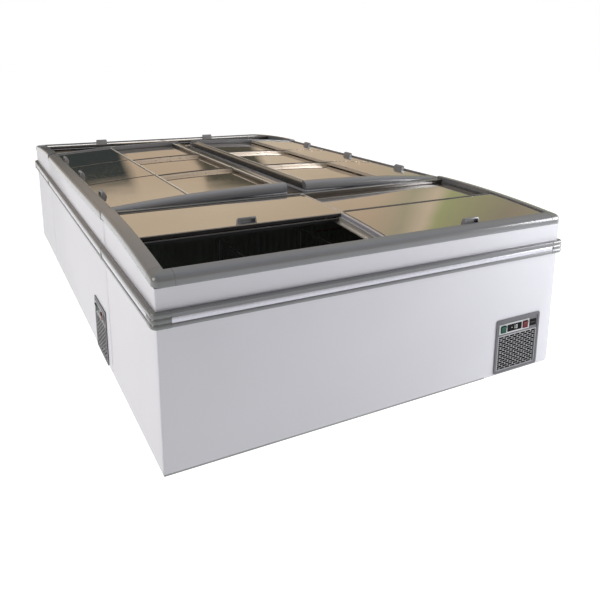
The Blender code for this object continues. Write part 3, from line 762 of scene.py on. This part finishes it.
def make_rails(cab):
    """Cross rails between the bays, and the track ledges on both sides of each bay."""
    span = (cab.angle(RIM_INNER + SEAM), cab.angle(cab.back - RIM_INNER))
    outlines = end_rail if cab.is_end else straight_rail
    for number, (left, right) in enumerate(zip(cab.bays, cab.bays[1:]), start=1):
        for part, (outline, paint, facets) in outlines(left[1], right[0]).items():
            rail = cab.swept(outline, *span)
            cab.piece(f"{part}_{number}", rail, paint, slot="rim_grey", facets=facets)
    for number, (low, high) in enumerate(cab.bays, start=1):
        for label, edge, way in (("a", low, 1), ("b", high, -1)):
            by_rail = (label == "a" and number > 1) or (label == "b" and number < cab.count)
            # On straight cabinets the tracks beside the rails take the rails' painted reflection of the
            # lids.
            tone = ("rail" if cab.is_end else "lid_reflection_rail") if by_rail else "track"
            track = cab.swept(track_outline(edge, way), *span)
            cab.piece(f"track_{number}{label}", track, tone, slot="rim_grey")


# Lids


def lid_angles(cab, part, top):
    low, high = cab.local_box(part)
    return cab.angle(low.y, top), cab.angle(high.y, top + LID_THICK)


def slab(cab, x, drops, front, back, steps=ARC_STEPS):
    outline = [(x[0], drops[0]), (x[1], drops[0]), (x[1], drops[1]), (x[0], drops[1])]
    return cab.swept(outline, front, back, steps)


def handle_mesh(cab, x, top, front):
    """A grip with sloped walls, a rounded crest and a hollow front face."""
    lean = 0.006
    start = 0.003
    outline = [
        (start, top + PANE),
        (start, top - 0.001),
        (start + lean * 0.8, top - HANDLE_RISE + 0.005),
        (start + lean + 0.0010, top - HANDLE_RISE + 0.0012),
        (start + lean + 0.0045, top - HANDLE_RISE),
        (start + HANDLE_DEPTH - lean - 0.004, top - HANDLE_RISE + 0.0030),
        (start + HANDLE_DEPTH - lean, top - HANDLE_RISE + 0.0060),
        (start + HANDLE_DEPTH, top),
        (start + HANDLE_DEPTH, top + PANE),
    ]
    half = HANDLE_WIDTH / 2
    rings = []
    for offset, lift in ((-half, 0.0030), (-half + 0.003, 0.0), (half - 0.003, 0.0), (half, 0.0030)):
        ring = []
        for d, drop in outline:
            lowered = drop + lift if drop < top - 0.002 else drop
            ring.append(cab.at(x + offset, front - d / cab.radius, lowered))
        rings.append(ring)
    mouth = []
    for offset in (-half + 0.007, half - 0.007):
        cut = [(-0.004, top - 0.002), (-0.004, top - HANDLE_RISE + 0.0065)]
        cut += [(start + lean + 0.0065, top - HANDLE_RISE + 0.0085), (start + lean + 0.004, top - 0.002)]
        mouth.append([cab.at(x + offset, front - d / cab.radius, drop) for d, drop in cut])
    return carved(loft(rings), loft(mouth))


def make_lid(cab, kind, number):
    """One sliding lid: a coated pane on dark bars with a light front edge, and a grip on a front lid."""
    part = f"{kind}_lid_{number}"
    body = cab.node(part)
    top = UPPER_LID_TOP if kind == "front" else LOWER_LID_TOP
    low, high = cab.local_box(part)
    x = (low.x, high.x)
    front, back = lid_angles(cab, part, top)
    step = 1 / cab.radius
    look = {"body": body, "slot": "lid_glass"}
    roof, floor = top + PANE, top + LID_THICK
    inset = 0.0012 * step
    pane = slab(cab, (x[0] + 0.001, x[1] - 0.001), (top, roof), front - inset, back + inset)
    cab.piece(f"{part}_pane", pane, "glass", stands_for=[body], bevel=0.0005, **look)
    edge = [(x[0], top + 0.0002), (x[1], top + 0.0002), (x[1], roof), (x[0], roof)]
    trim = cab.swept(edge, front, front - 0.0011 * step, 1)
    cab.piece(f"{part}_trim", trim, "trim" if kind == "front" else "rear_trim", **look)
    inside = (x[0] + SIDE_BAR, x[1] - SIDE_BAR)
    bar = slab(cab, x, (roof + 0.0002, floor), front, front - FRONT_BAR * step, 2)
    cab.piece(f"{part}_front_bar", bar, "bar", bevel=0.0012, **look)
    bar = slab(cab, x, (roof + 0.0002, floor), back + REAR_BAR * step, back, 2)
    tone = "bar" if cab.is_end or kind == "rear" else "trim"
    cab.piece(f"{part}_rear_bar", bar, tone, bevel=0.0012, **look)
    for label, reach in (("left", (x[0], inside[0])), ("right", (inside[1], x[1]))):
        span = (front - (FRONT_BAR + SEAM) * step, back + (REAR_BAR + SEAM) * step)
        bar = slab(cab, reach, (roof + 0.0002, floor), *span)
        cab.piece(f"{part}_{label}_bar", bar, "bar", bevel=0.0010, **look)
    if kind == "front":
        grip = handle_mesh(cab, sum(x) / 2, top, front)
        cab.piece(f"{part}_handle", grip, "handle", bevel=0.0008, **look)
        wide = (x[0] + 0.003, x[1] - 0.003)
        line, seal = (0.0022, 0.018) if cab.is_end else (0.0085, 0.0135)
        bands = {
            "seal": (0.0008, seal, line + 0.0002, "bar"),
            "rear_trim": (0.0012, line, 0.0004, "rear_trim" if cab.is_end else "bright"),
        }
        for label, (proud, start, end, tone) in bands.items():
            drops = (top - proud, top - 0.0001)
            band = slab(cab, wide, drops, back + start * step, back + end * step, 1)
            cab.piece(f"{part}_{label}", band, tone, **look)


# Vent panel


def make_vent_panel(cab):
    """Frame with rounded corners, slotted grille, switch plate, display and two rockers."""
    low, high = cab.local_box("vent_panel")
    face = low.y
    look = {"slot": "panel_grey"}
    wide = 0.013
    switch_low = high.z - 0.078
    outer = rounded_plan((low.x, low.z), (high.x, high.z), 0.009, 5)
    inner = rounded_plan((low.x + wide, low.z + wide), (high.x - wide, high.z - wide), 0.005, 5)
    rings = []
    for (ox, oz), (ix, iz) in zip(outer, inner):
        ring = [(ox, VENT_BACK, oz), (ox, face, oz), (ix, face, iz), (ix, 0.004, iz), (ix, VENT_BACK, iz)]
        rings.append(ring)
    nodes = [cab.node("vent_panel")]
    cab.piece("vent_frame", loft(rings, looped=True), "panel", stands_for=nodes, bevel=0.0008, **look)
    x_span, z_span = (low.x + wide - 0.001, high.x - wide + 0.001), (low.z + wide - 0.001, switch_low)
    cab.piece("vent_grille", grille_mesh(x_span, z_span, face + 0.0016), "grille", **look)
    # A near-black sheet behind the grille: painted shade, so that the slots read as the dark machine bay.
    shade_sheet_x, shade_sheet_z = ((span[0] + 0.003, span[1] - 0.003) for span in (x_span, z_span))
    cab.piece("vent_shade_sheet", tablet(shade_sheet_x, (0.0055, 0.0075), shade_sheet_z, 0.004), "shade_black", **look)
    make_switches(cab, (low.x + wide, high.x - wide), (switch_low, high.z - wide), face)


def grille_mesh(x_span, z_span, y_front):
    """Staggered rows of short slots in a thin plate."""
    rows, columns = 16, 7
    margin, bridge = 0.005, 0.0042
    pitch_x = (x_span[1] - x_span[0] - 2 * margin) / columns
    pitch_z = (z_span[1] - z_span[0] - 2 * margin) / rows
    slot = 0.0086
    x_lines = {x_span[0], x_span[1]}
    for i in range(2 * columns + 1):
        x = x_span[0] + margin + i * pitch_x / 2
        x_lines.update(round(x + way * bridge / 2, 5) for way in (-1, 1))
    x_lines = sorted(x for x in x_lines if x_span[0] <= x <= x_span[1])
    z_lines = [z_span[0]]
    for j in range(rows):
        z = z_span[0] + margin + (j + 0.5) * pitch_z
        z_lines += [z - slot / 2, z + slot / 2]
    z_lines.append(z_span[1])
    first, last = x_span[0] + margin, x_span[1] - margin

    def is_open(x, z, band):
        if band % 2 == 0 or x < first or x > last:
            return False
        shift = 0.0 if (band // 2) % 2 else 0.5
        place = (x - first) / pitch_x + shift
        distance = abs(place - round(place)) * pitch_x
        return distance > bridge / 2 and first + 0.004 < x < last - 0.004

    return cell_plate(x_lines, z_lines, is_open, y_front, 0.0024)


def make_switches(cab, x_span, z_span, face):
    """Light plate with the rockers, a dark display window and a recess with a narrow slot."""
    look = {"slot": "panel_grey"}
    places = {}
    holes = []
    for part in ROCKERS:
        low, high = cab.local_box(part)
        places[part] = ((low.x + high.x) / 2, (low.z + high.z) / 2)
        holes.append((low.x - 0.0011, high.x + 0.0011, low.z - 0.0013, high.z + 0.0013))
    plate_x = (holes[0][0] - 0.010, holes[1][1] + 0.008)
    plate_z = (holes[0][2] - 0.0065, holes[0][3] + 0.0065)
    x_lines = sorted({*plate_x, holes[0][0], holes[0][1], holes[1][0], holes[1][1]})
    z_lines = sorted({*plate_z, holes[0][2], holes[0][3]})
    ground_x = sorted({x_span[0] - 0.001, *(x for hole in holes for x in hole[:2]), x_span[1] + 0.001})
    ground_z = [z_span[0], holes[0][2], holes[0][3], z_span[1] + 0.001]

    def inside_hole(x, z, _band):
        return any(a < x < b and c < z < d for a, b, c, d in holes)

    ground = cell_plate(ground_x, ground_z, inside_hole, face + 0.0020, 0.0020)
    cab.piece("switch_ground", ground, "panel", **look)
    plate = cell_plate(x_lines, z_lines, inside_hole, face + 0.0004, 0.0015)
    cab.piece("switch_plate", plate, "plate", bevel=0.0005, **look)
    z_mid = (holes[0][2] + holes[0][3]) / 2
    window = (holes[0][1] + 0.007, holes[1][0] - 0.007)
    glass = tablet(window, (face + 0.0014, face + 0.0001), (z_mid - 0.017, z_mid + 0.017), 0.003)
    cab.piece("display", glass, "display", bevel=0.0003, **look)
    digits = digit_mesh(window, z_mid, face + 0.00005)
    cab.piece("display_digits", digits, "digit", **look)
    recess = (plate_x[1] + 0.006, x_span[1] - 0.006)
    cover = tablet(recess, (face + 0.0019, face + 0.0010), (z_mid - 0.016, z_mid + 0.016), 0.003)
    slot = block((recess[0] + 0.006, recess[1] - 0.006), (-1, 1), (z_mid - 0.0015, z_mid + 0.0015))
    cab.piece("card_slot", carved(cover, slot), "display", **look)
    for part, place in places.items():
        make_rocker(cab, part, place)


SEGMENTS = {"-": "g", "1": "bc", "8": "abcdefg"}


def digit_mesh(window, z_mid, y):
    """The readout: a minus sign and two seven-segment digits."""
    high, wide, bar = 0.018, 0.009, 0.0016
    spans = {
        "a": ((0, wide), (high - bar, high)),
        "g": ((0, wide), ((high - bar) / 2, (high + bar) / 2)),
        "d": ((0, wide), (0, bar)),
        "f": ((0, bar), (high / 2, high)),
        "b": ((wide - bar, wide), (high / 2, high)),
        "e": ((0, bar), (0, high / 2)),
        "c": ((wide - bar, wide), (0, high / 2)),
    }
    solids = []
    gap, pitch = 0.0002, 0.015
    start, z = (window[0] + window[1]) / 2 - 0.0215, z_mid - high / 2
    for i, sign in enumerate("-18"):
        x = start + i * pitch
        for key in SEGMENTS[sign]:
            (x_low, x_high), (z_low, z_high) = spans[key]
            x_ends = (x + x_low + gap, x + x_high - gap)
            z_ends = (z + z_low + gap, z + z_high - gap)
            solids.append(block(x_ends, (y - 0.00004, y + 0.0002), z_ends))
    return merged(solids)


def make_rocker(cab, part, place):
    """A rocker button with a hollowed face, tipped to its rest side."""
    low, high = cab.local_box(part)
    half_x, half_z = (high.x - low.x) / 2, 0.0158
    outline = [(0.006, -half_z * 0.8), (-0.0092, -half_z)]
    for a in spread(-1.5, 1.5, 10):
        outline.append((-0.0098 + 0.0028 * math.cos(a) ** 2, half_z * math.sin(a)))
    outline += [(-0.0092, half_z), (0.006, half_z * 0.8)]
    mesh = loft([[(x, y, z) for y, z in outline] for x in (-half_x + 0.0001, half_x - 0.0001)])
    mesh.transform(Matrix.Rotation(ROCKER_TILT, 4, "X"))
    mesh.transform(Matrix.Translation((place[0], 0.0, place[1])))
    paint = "green" if part == "power_rocker" else "red"
    node = cab.node(part)
    words = {"body": node, "slot": ROCKERS[part], "stands_for": [node]}
    cab.piece(f"{part}_button", mesh, paint, bevel=0.0006, facets=40, **words)


def dress_machine(cab):
    """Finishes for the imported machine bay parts."""
    for part, paint in (("condenser", "fin"), ("compressor", "pot"), ("condenser_fan", "fan")):
        repaint(cab.node(part), paint)


# Pieces of the whole island


def bumper_sections(height):
    """Sections in (out, up) of the lower lip, the bright strip and the upper band."""
    lip, flat, wall = 0.0186, 0.0152, 0.0003
    lower = [(wall, 0.0), (0.011, 0.0), (0.0160, 0.0015), (lip, 0.0055), (lip, 0.0140)]
    lower += [(lip - 0.0012, 0.0158), (flat - 0.001, 0.0160), (wall, 0.0160)]
    strip = [(wall, 0.0162), (flat, 0.0162), (flat + 0.0012, 0.0180), (flat + 0.0012, 0.0340)]
    strip += [(flat, 0.0358), (wall, 0.0358)]
    upper = [(wall, 0.0360), (flat - 0.001, 0.0360), (lip - 0.0012, 0.0364), (lip, 0.0380)]
    upper += [(lip, 0.0490), (lip + 0.0009, 0.0500), (lip + 0.0009, 0.0510), (lip - 0.0004, 0.0520)]
    upper += [(0.0165, 0.0555), (0.0110, height), (wall, height)]
    return {"lower": (lower, "bumper"), "strip": (strip, "strip"), "upper": (upper, "bumper")}


def make_bumper():
    low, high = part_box("bumper_rail")
    half_x, half_y = high.x - BUMPER_PROUD, high.y - BUMPER_PROUD
    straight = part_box("left_cabinet_shell")[1].y + 0.0005
    height = high.z - low.z
    runs = []
    for way in (-1, 1):
        runs.append(("end", way, -half_x + CAP_REACH, half_x - CAP_REACH))
        stops = (-half_y + CAP_REACH, -straight, straight, half_y - CAP_REACH)
        for first, second in zip(stops, stops[1:]):
            runs.append(("side", way, first + SEAM, second - SEAM))
    stands_for = ["bumper_rail"]
    for number, (kind, way, first, second) in enumerate(runs, start=1):
        for label, (outline, paint) in bumper_sections(height).items():
            rings = []
            for along in (first, second):
                if kind == "end":
                    rings.append([(along, way * (half_y + out), low.z + up) for out, up in outline])
                else:
                    rings.append([(way * (half_x + out), along, low.z + up) for out, up in outline])
            words = {"slot": "bumper_grey", "bevel": 0.0004, "stands_for": stands_for}
            piece(f"bumper_{label}_{number}", loft(rings), paint, **words)
            stands_for = ()
    for number, (sx, sy) in enumerate(((-1, -1), (1, -1), (1, 1), (-1, 1)), start=1):
        mesh = cap_mesh(sx, sy, half_x, half_y, low.z, height)
        piece(f"bumper_cap_{number}", mesh, "cap", slot="bumper_grey", bevel=0.0004)
    number = 0
    for sx in (-1, 1):
        for y in (-straight, straight):
            number += 1
            outline = [(0.0003, 0.001), (0.014, 0.001), (0.0196, 0.006), (0.0196, 0.052)]
            outline += [(0.014, height - 0.001), (0.0003, height - 0.001)]
            rings = []
            for end in (y - CLIP_HALF, y + CLIP_HALF):
                rings.append([(sx * (half_x + out), end, low.z + up) for out, up in outline])
            piece(f"bumper_clip_{number}", loft(rings), "cap", slot="bumper_grey", bevel=0.0010)


def cap_mesh(sx, sy, half_x, half_y, z_low, height):
    """A corner cap with three rounded lobes and waists between them."""
    outline = [(0.0003, 0.0004)]
    lobes = 3
    for i in range(lobes * 6 + 1):
        share = i / (lobes * 6)
        swell = abs(math.sin(math.pi * lobes * share))
        out = 0.0164 + 0.0034 * swell**0.6
        outline.append((out if 0 < share < 1 else 0.0150, 0.0004 + share * (height - 0.0008)))
    outline.append((0.0003, height - 0.0004))
    x_mid, y_mid = half_x - CAP_ROUND, half_y - CAP_ROUND
    rings = [[(half_x - CAP_REACH + SEAM, half_y + out, up) for out, up in outline]]
    for angle in spread(90, 0, 8):
        a = math.radians(angle)
        ring = []
        for out, up in outline:
            r = CAP_ROUND + out
            ring.append((x_mid + r * math.cos(a), y_mid + r * math.sin(a), up))
        rings.append(ring)
    rings.append([(half_x + out, half_y - CAP_REACH + SEAM, up) for out, up in outline])
    return loft([[(sx * x, sy * y, z_low + z) for x, y, z in ring] for ring in rings])


def wire_curve(name, runs, radius):
    curve = bpy.data.curves.new(name, "CURVE")
    curve.dimensions = "3D"
    curve.bevel_depth = radius
    curve.bevel_resolution = 3
    curve.use_fill_caps = True
    for run in runs:
        spline = curve.splines.new("POLY")
        spline.points.add(len(run) - 1)
        for point, place in zip(spline.points, run):
            point.co = (*place, 1.0)
    return curve


def make_dividers():
    """Round-wire grids with a closed frame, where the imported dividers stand."""
    for number in (1, 2):
        node = f"near_wire_divider_{number}"
        low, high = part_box(node)
        x = (low.x + high.x) / 2
        thick, thin = 0.0024, 0.0014
        y_low, y_high = low.y + thick, high.y - thick
        z_low, z_high = low.z + thick, high.z - thick
        frame_run = [(x, y_low, z_low), (x, y_high, z_low), (x, y_high, z_high), (x, y_low, z_high)]
        fore, aft = x + 0.0018, x - 0.0018
        uprights = [[(fore, y, z_low), (fore, y, z_high)] for y in spread(y_low, y_high, 14)[1:-1]]
        levels = [[(aft, y_low, z), (aft, y_high, z)] for z in spread(z_low, z_high, 4)[1:-1]]
        outer = wire_curve(f"{node}_frame", [frame_run], thick)
        outer.splines[0].use_cyclic_u = True
        inner = wire_curve(f"{node}_grid", uprights + levels, thin)
        for label, curve, nodes in (("frame", outer, [node]), ("grid", inner, [])):
            obj = placed(f"{node}_{label}", curve)
            curve.materials.append(PAINT["wire" if label == "frame" else "thin_wire"])
            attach(obj, FIXED)
            if nodes:
                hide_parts(*nodes)


def make_limit_marks(cab):
    """Two rows of short dashes on the back wall that mark how high the goods may stand."""
    back = cab.back - TUB_BACK - RIB_PROUD - 0.0006
    solids = []
    for level in (0.590, 0.630):
        for x in spread(0.080, 0.200, 3):
            solids.append(block((x, x + 0.028), (back, back + 0.0012), (level, level + 0.005)))
    cab.piece("limit_marks", merged(solids), "mark", slot="liner_black")


# Stage


def make_floor():
    bm = bmesh.new()
    bmesh.ops.create_grid(bm, x_segments=2, y_segments=2, size=60.0)
    mesh = closed_mesh("floor", bm)
    made, tree, shader = nodes_of("floor_paint")
    fine = noise(tree, stretched(tree), 8.0)
    feed(tree, shader, {"Base Color": toned(tree, fine, (0.28, 0.28, 0.28), (0.31, 0.31, 0.31))})
    shader.inputs["Roughness"].default_value = 0.6
    shader.inputs["Emission Color"].default_value = (1.0, 1.0, 1.0, 1.0)
    shader.inputs["Emission Strength"].default_value = FLOOR_GLOW
    mesh.materials.append(made)
    placed("floor", mesh)


def area_light(name, place, target, size, power, colour, glossy):
    lamp = bpy.data.lights.new(name, "AREA")
    lamp.size = size
    lamp.energy = power
    lamp.color = colour
    obj = placed(name, lamp)
    obj.location = place
    obj.rotation_euler = (Vector(target) - Vector(place)).to_track_quat("-Z", "Y").to_euler()
    obj.visible_glossy = glossy


# A generic shop round the studio, seen only in glossy surfaces: (heading in radians, colour)
BEIGE, PALE_BEIGE = (0.52, 0.41, 0.30), (0.60, 0.50, 0.38)
SLATE, UMBER = (0.040, 0.048, 0.047), (0.085, 0.078, 0.058)
OLIVE, MOSS, EARTH = (0.400, 0.365, 0.260), (0.360, 0.380, 0.200), (0.310, 0.275, 0.205)
LOW_WALLS = (
    (-0.10, BEIGE), (-0.06, SLATE), (0.235, SLATE), (0.250, BEIGE),
    (0.350, BEIGE), (0.362, UMBER), (0.470, UMBER), (0.482, PALE_BEIGE),
    (0.630, BEIGE), (0.740, OLIVE), (1.050, MOSS), (1.400, BEIGE),
)
HIGH_WALLS = (
    (-0.20, BEIGE), (0.400, PALE_BEIGE), (0.670, BEIGE), (0.730, OLIVE),
    (0.775, PALE_BEIGE), (0.800, MOSS), (0.900, EARTH), (1.050, OLIVE),
    (1.400, BEIGE),
)
WALL_SPAN = (-0.7, 1.6)
WALL_SWAY = 0.10
# Ray heights over which the low walls turn into the high ones, and those into the ceiling
WALL_SPLIT = (0.200, 0.235)
CEILING_SPAN = (0.42, 0.80)
CEILING = (0.72, 0.73, 0.78, 1)


def wall_ramp(tree, share, walls):
    ramp = add(tree, "ShaderNodeValToRGB")
    stops = ramp.color_ramp.elements
    while len(stops) < len(walls):
        stops.new(0.5)
    for stop, (heading, colour) in zip(stops, walls):
        stop.position = (heading - WALL_SPAN[0]) / (WALL_SPAN[1] - WALL_SPAN[0])
        stop.color = (*colour, 1)
    return feed(tree, ramp, {"Fac": share}).outputs["Color"]


def make_world():
    """White for the eye and the fill light; a dim shop room in glossy reflections."""
    world = bpy.data.worlds.new("studio")
    bpy.context.scene.world = world
    world.use_nodes = True
    tree = world.node_tree
    fill = tree.nodes["Background"]
    fill.inputs["Color"].default_value = (0.985, 0.985, 1.0, 1.0)
    fill.inputs["Strength"].default_value = FILL
    seen = add(tree, "ShaderNodeBackground", Strength=1.0, Color=(1, 1, 1, 1))
    around = add(tree, "ShaderNodeTexCoord").outputs["Generated"]
    split = feed(tree, add(tree, "ShaderNodeSeparateXYZ"), {0: around})
    heading = add(tree, "ShaderNodeMath", operation="ARCTAN2")
    feed(tree, heading, {0: split.outputs["X"], 1: split.outputs["Y"]})
    swayed = add(tree, "ShaderNodeMath", operation="MULTIPLY_ADD")
    swayed.inputs[1].default_value = WALL_SWAY
    feed(tree, swayed, {0: noise(tree, around, 5.0, 2.0), 2: heading.outputs[0]})
    share = ranged(tree, swayed.outputs[0], 0.0, 1.0, *WALL_SPAN)
    low, high = wall_ramp(tree, share, LOW_WALLS), wall_ramp(tree, share, HIGH_WALLS)
    walls = add(tree, "ShaderNodeMix", data_type="RGBA")
    feed(tree, walls, {0: ranged(tree, split.outputs["Z"], 0.0, 1.0, *WALL_SPLIT), 6: low, 7: high})
    ceiling = add(tree, "ShaderNodeMix", data_type="RGBA")
    ceiling.inputs[7].default_value = CEILING
    feed(tree, ceiling, {0: ranged(tree, split.outputs["Z"], 0.0, 1.0, *CEILING_SPAN), 6: walls.outputs[2]})
    room = add(tree, "ShaderNodeBackground", Strength=1.0)
    feed(tree, room, {"Color": ceiling.outputs[2]})
    path = add(tree, "ShaderNodeLightPath").outputs
    glossy, choose = add(tree, "ShaderNodeMixShader"), add(tree, "ShaderNodeMixShader")
    feed(tree, glossy, {"Fac": path["Is Glossy Ray"], 1: fill.outputs[0], 2: room.outputs[0]})
    feed(tree, choose, {"Fac": path["Is Camera Ray"], 1: glossy.outputs[0], 2: seen.outputs[0]})
    feed(tree, tree.nodes["World Output"], {"Surface": choose.outputs[0]})


def make_camera():
    """A camera at eye height before the near end's left corner."""
    level_share, drop = math.cos(ELEVATION), math.sin(ELEVATION)
    forward = Vector((math.sin(AZIMUTH) * level_share, math.cos(AZIMUTH) * level_share, -drop))
    level = Vector((math.cos(AZIMUTH), -math.sin(AZIMUTH), 0))
    upright = level.cross(forward)
    right = math.cos(ROLL) * level + math.sin(ROLL) * upright
    up = math.cos(ROLL) * upright - math.sin(ROLL) * level
    data = bpy.data.cameras.new("camera")
    data.sensor_width, data.lens = SENSOR, LENS
    data.shift_x, data.shift_y = LENS_SHIFT
    camera = placed("camera", data)
    axes = Matrix((right, up, -forward)).transposed().to_4x4()
    camera.matrix_world = Matrix.Translation(CAMERA_PLACE) @ axes
    bpy.context.scene.camera = camera


def make_cabinet(cab):
    make_wrap(cab)
    make_pan(cab)
    make_tub(cab)
    make_rims(cab)
    make_rails(cab)
    for number in range(1, cab.count + 1):
        make_lid(cab, "front", number)
        make_lid(cab, "rear", number)
    make_vent_panel(cab)
    dress_machine(cab)


def make_island():
    cabinets = {name: Cabinet(name) for name in TURNS}
    for cab in cabinets.values():
        make_cabinet(cab)
    make_limit_marks(cabinets["near"])
    make_bumper()
    make_dividers()
    # The spine cover gets a near-black brown that is painted shade for its shadowed recess.
    repaint("spine_cover", "spine")


make_camera()
make_island()
make_floor()
make_world()
for lamp_name, lamp_values in LAMPS.items():
    area_light(lamp_name, *lamp_values)
bpy.context.scene.view_settings.view_transform = "Standard"
